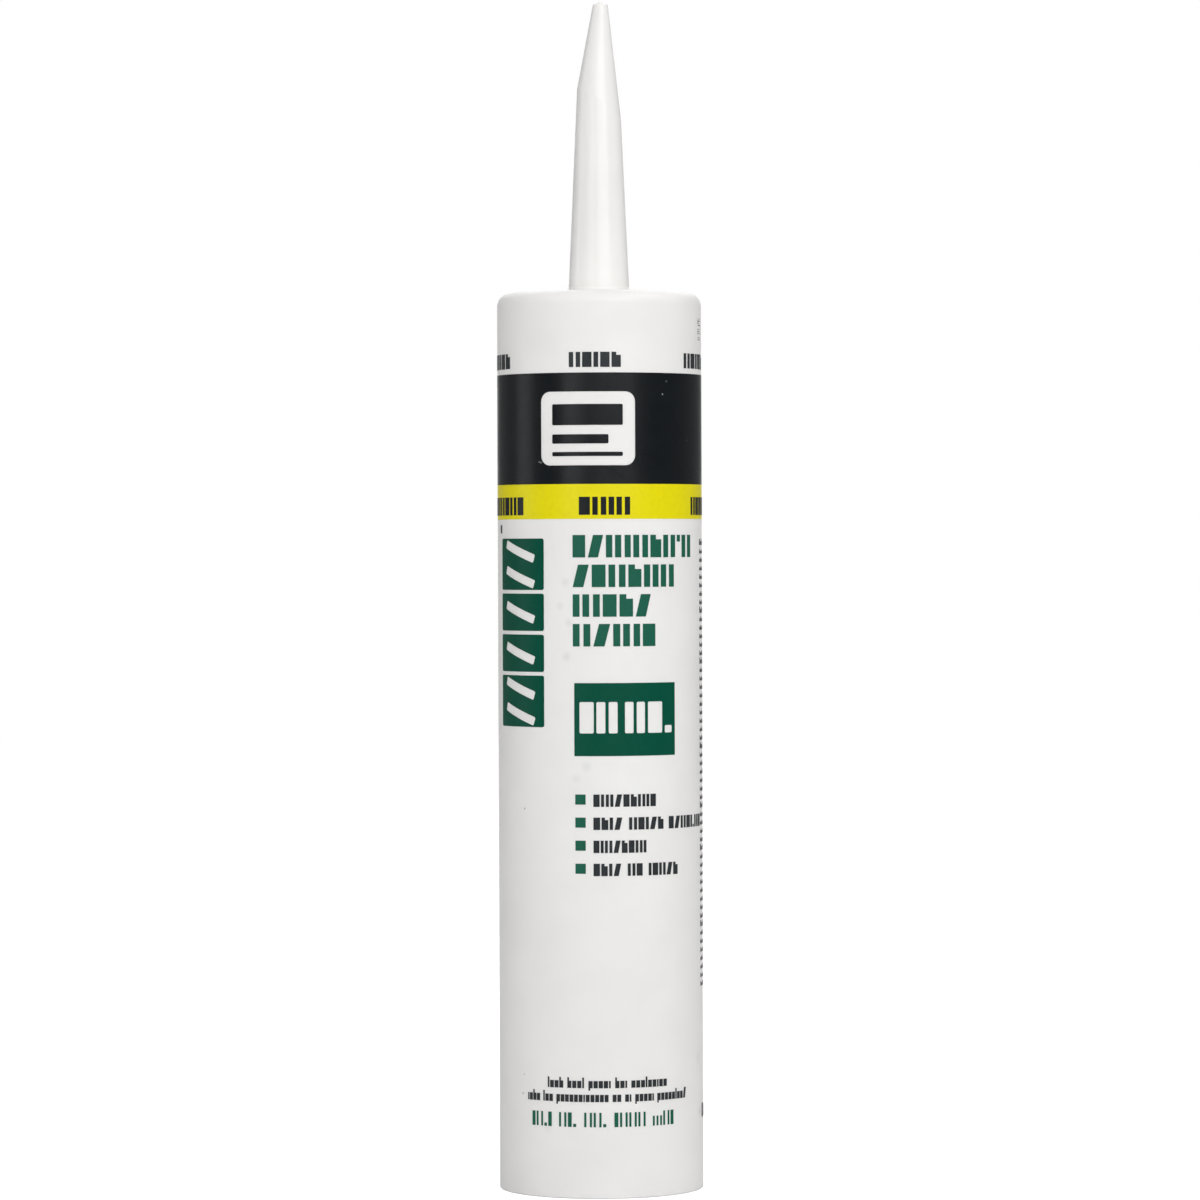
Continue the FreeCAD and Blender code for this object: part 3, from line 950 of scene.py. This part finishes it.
def make_ink(name, colour, thin_colour, fine_colour, roughness, specular):
    """Screen ink cured on polyethylene: an even satin film, a little thinner in places, with fine dust.

    Fine print takes less ink, so the white shows through it and its colour is paler.
    """
    material, tree = new_material(name)
    place = add(tree, "ShaderNodeTexCoord").outputs["Object"]
    stretched = add(tree, "ShaderNodeMapping", {"Vector": place, "Scale": FLOW_STRETCH}).outputs[0]
    film_colour = coated(
        tree,
        linear(colour),
        (grain(tree, place, 1.1, 0, 0.5), linear(thin_colour)),
        (add(tree, "ShaderNodeAttribute", attribute_name=THIN_INK).outputs["Fac"], linear(fine_colour)),
        (spots(tree, place, DUST), linear("#C9CCCB")),
    )
    waves = add(
        tree,
        "ShaderNodeBump",
        {"Height": grain(tree, stretched, FLOW_WIDTH, 0, 1), "Strength": 1.0, "Distance": 0.00005},
    )
    shader = add(
        tree,
        "ShaderNodeBsdfPrincipled",
        {
            "Base Color": film_colour,
            "Roughness": grain(tree, place, 5, roughness - 0.03, roughness + 0.03),
            "IOR": 1.5,
            "Specular IOR Level": specular,
            "Normal": waves.outputs[0],
        },
    )
    finish_material(tree, shader)
    return material


def make_ldpe():
    """Low-density polyethylene, injection moulded unfilled: waxy, milky and softer in its shine."""
    material, tree = new_material("natural_ldpe")
    place = add(tree, "ShaderNodeTexCoord").outputs["Object"]
    colour = coated(tree, linear("#E9E7DF"), (grain(tree, place, 8, 0, 1), linear("#F0EEE8")))
    texture = add(
        tree,
        "ShaderNodeBump",
        {"Height": grain(tree, place, 0.8, 0, 1), "Strength": 1.0, "Distance": 0.00001},
    )
    shader = add(
        tree,
        "ShaderNodeBsdfPrincipled",
        {
            "Base Color": colour,
            "Roughness": grain(tree, place, 5, 0.44, 0.52),
            "IOR": 1.5,
            "Subsurface Weight": 0.4,
            "Subsurface Radius": (1.0, 0.95, 0.85),
            "Subsurface Scale": 2 * MM,
            "Normal": texture.outputs[0],
        },
        subsurface_method="RANDOM_WALK",
    )
    finish_material(tree, shader)
    return material


def make_paste():
    """Acrylic latex sealant: a wet, smooth, opaque paste."""
    material, tree = new_material("acrylic_latex_paste")
    place = add(tree, "ShaderNodeTexCoord").outputs["Object"]
    colour = coated(tree, linear("#F1F1ED"), (grain(tree, place, 10, 0, 1), linear("#F6F6F3")))
    ripples = add(
        tree,
        "ShaderNodeBump",
        {"Height": grain(tree, place, 7, 0, 1), "Strength": 1.0, "Distance": 0.0002},
    )
    shader = add(
        tree,
        "ShaderNodeBsdfPrincipled",
        {
            "Base Color": colour,
            "Roughness": grain(tree, place, 4, 0.2, 0.3),
            "IOR": 1.45,
            "Normal": ripples.outputs[0],
        },
    )
    finish_material(tree, shader)
    return material


stock = make_stock()
moulding = make_cartridge()
plunger = make_plunger()
sealant = make_sealant()
black_ink = make_black_ink(stock)
yellow_ink = make_yellow_ink()
green_ink = make_green_ink(stock)
for entry in stock.values():
    bpy.data.objects.remove(entry[0])

FINISHES = (
    (moulding, make_hdpe()),
    (plunger, make_ldpe()),
    (sealant, make_paste()),
    (black_ink, make_ink("black_screen_ink", "#090E12", "#0F1419", "#2A2E31", 0.3, 0.26)),
    (yellow_ink, make_ink("yellow_screen_ink", "#EBDF00", "#E2D50A", "#EBE03A", 0.34, 0.22)),
    (green_ink, make_ink("green_screen_ink", "#004C39", "#035140", "#205F4C", 0.34, 0.1)),
)
for piece, material in FINISHES:
    piece.data.materials.clear()
    piece.data.materials.append(material)

for piece, body, node in (
    (moulding, "cartridge", "cartridge"),
    (black_ink, "cartridge", "black_print"),
    (yellow_ink, "cartridge", "yellow_print"),
    (green_ink, "cartridge", "green_print"),
    (sealant, "cartridge", "sealant"),
    (plunger, "plunger", "plunger"),
):
    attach(piece, body)
    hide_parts(node)

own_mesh(sealant)


# Camera, floor and light. Places and sizes from here on are metres.
CAMERA_PLACE = (0.00005, -1.259, 0.1546)
CAMERA_PITCH = 0.543
CAMERA_ROLL = 0.185
LENS_MM = 155.49
SENSOR_MM = 36.0
ROOM_LIGHT = 0.2
BACKDROP_EDGE = 0.91
BACKDROP_FADE = 0.08
FLOOR_GLOW = 0.92
FLOOR_SIZE = 6
WHITE = (1, 1, 1, 1)

scene = bpy.context.scene
camera_data = bpy.data.cameras.new("camera")
camera_data.lens = LENS_MM
camera_data.sensor_width = SENSOR_MM
camera_data.clip_start = 0.05
camera = bpy.data.objects.new("camera", camera_data)
camera.location = CAMERA_PLACE
camera.rotation_euler = (math.radians(90 - CAMERA_PITCH), math.radians(CAMERA_ROLL), 0)
scene.collection.objects.link(camera)
scene.camera = camera


def background_share(tree, direction):
    """How much of the white background a ray sees.

    It is 1 for the camera's and clear rays, and for mirrored rays that point at the backdrop behind the
    cartridge; to the sides and the front the studio is dim.
    """
    path = add(tree, "ShaderNodeLightPath")
    parts = add(tree, "ShaderNodeSeparateXYZ", {"Vector": direction})
    backdrop = add(
        tree,
        "ShaderNodeMapRange",
        {
            "Value": parts.outputs["Y"],
            "From Min": BACKDROP_EDGE,
            "From Max": BACKDROP_EDGE + BACKDROP_FADE,
        },
        interpolation_type="SMOOTHSTEP",
    )
    mirrored = add(
        tree,
        "ShaderNodeMath",
        {0: path.outputs["Is Glossy Ray"], 1: backdrop.outputs[0]},
        operation="MULTIPLY",
    )
    direct = add(
        tree,
        "ShaderNodeMath",
        {0: path.outputs["Is Camera Ray"], 1: path.outputs["Is Transmission Ray"]},
        operation="MAXIMUM",
    )
    return add(
        tree,
        "ShaderNodeMath",
        {0: direct.outputs[0], 1: mirrored.outputs[0]},
        operation="MAXIMUM",
    ).outputs[0]


world = bpy.data.worlds.new("studio")
world.use_nodes = True
world_tree = world.node_tree
world_tree.nodes.clear()
skyward = add(world_tree, "ShaderNodeTexCoord").outputs["Generated"]
strength = add(
    world_tree,
    "ShaderNodeMapRange",
    {"Value": background_share(world_tree, skyward), "To Min": ROOM_LIGHT, "To Max": 1.0},
)
background = add(world_tree, "ShaderNodeBackground", {"Color": WHITE, "Strength": strength.outputs[0]})
add(world_tree, "ShaderNodeOutputWorld", {"Surface": background.outputs[0]})
scene.world = world

deselect()
bpy.ops.mesh.primitive_plane_add(size=FLOOR_SIZE)
floor = bpy.context.object
floor.name = "floor"
floor_material, floor_tree = new_material("white_studio_sweep")
floor_place = add(floor_tree, "ShaderNodeTexCoord").outputs["Object"]
outward = add(floor_tree, "ShaderNodeVectorMath", {0: floor_place}, operation="NORMALIZE").outputs[0]
glow_strength = add(
    floor_tree,
    "ShaderNodeMath",
    {0: background_share(floor_tree, outward), 1: FLOOR_GLOW},
    operation="MULTIPLY",
)
glow = add(floor_tree, "ShaderNodeEmission", {"Color": WHITE, "Strength": glow_strength.outputs[0]})
paint = add(floor_tree, "ShaderNodeBsdfDiffuse", {"Color": linear("#D9D9D9")})
lit_paint = add(floor_tree, "ShaderNodeAddShader", {0: glow.outputs[0], 1: paint.outputs[0]})
finish_material(floor_tree, lit_paint)
floor.data.materials.append(floor_material)


def softbox(name, azimuth, elevation, distance, width, height, power):
    """A soft rectangular light that looks at the middle of the cartridge."""
    data = bpy.data.lights.new(name, "AREA")
    data.shape = "RECTANGLE"
    data.size = width
    data.size_y = height
    data.energy = power
    light = bpy.data.objects.new(name, data)
    target = Vector((0, 0, NOZZLE_TOP * MM / 2))
    flat = math.cos(math.radians(elevation))
    direction = Vector((
        math.sin(math.radians(azimuth)) * flat,
        -math.cos(math.radians(azimuth)) * flat,
        math.sin(math.radians(elevation)),
    ))
    light.location = target + direction * distance
    light.rotation_euler = direction.to_track_quat("Z", "Y").to_euler()
    scene.collection.objects.link(light)


# Each lamp's name, azimuth, elevation, distance, width, height and watts.
LIGHTS = (
    ("front_right", 15, 25, 1.6, 1.2, 1.0, 11.6),
    ("front_left", -30, 10, 1.6, 0.6, 1.0, 3.4),
    ("key", 38, 20, 1.6, 0.2, 0.8, 1.8),
    ("left", -92, 5, 1.6, 0.6, 1.2, 2.9),
    ("high_right", 85, 55, 1.6, 0.8, 0.8, 7.2),
    ("high_left", -75, 50, 1.6, 0.8, 0.8, 3.4),
    ("back", 180, 40, 1.6, 1.6, 0.8, 9.0),
)
for settings in LIGHTS:
    softbox(*settings)

scene.view_settings.view_transform = "Standard"
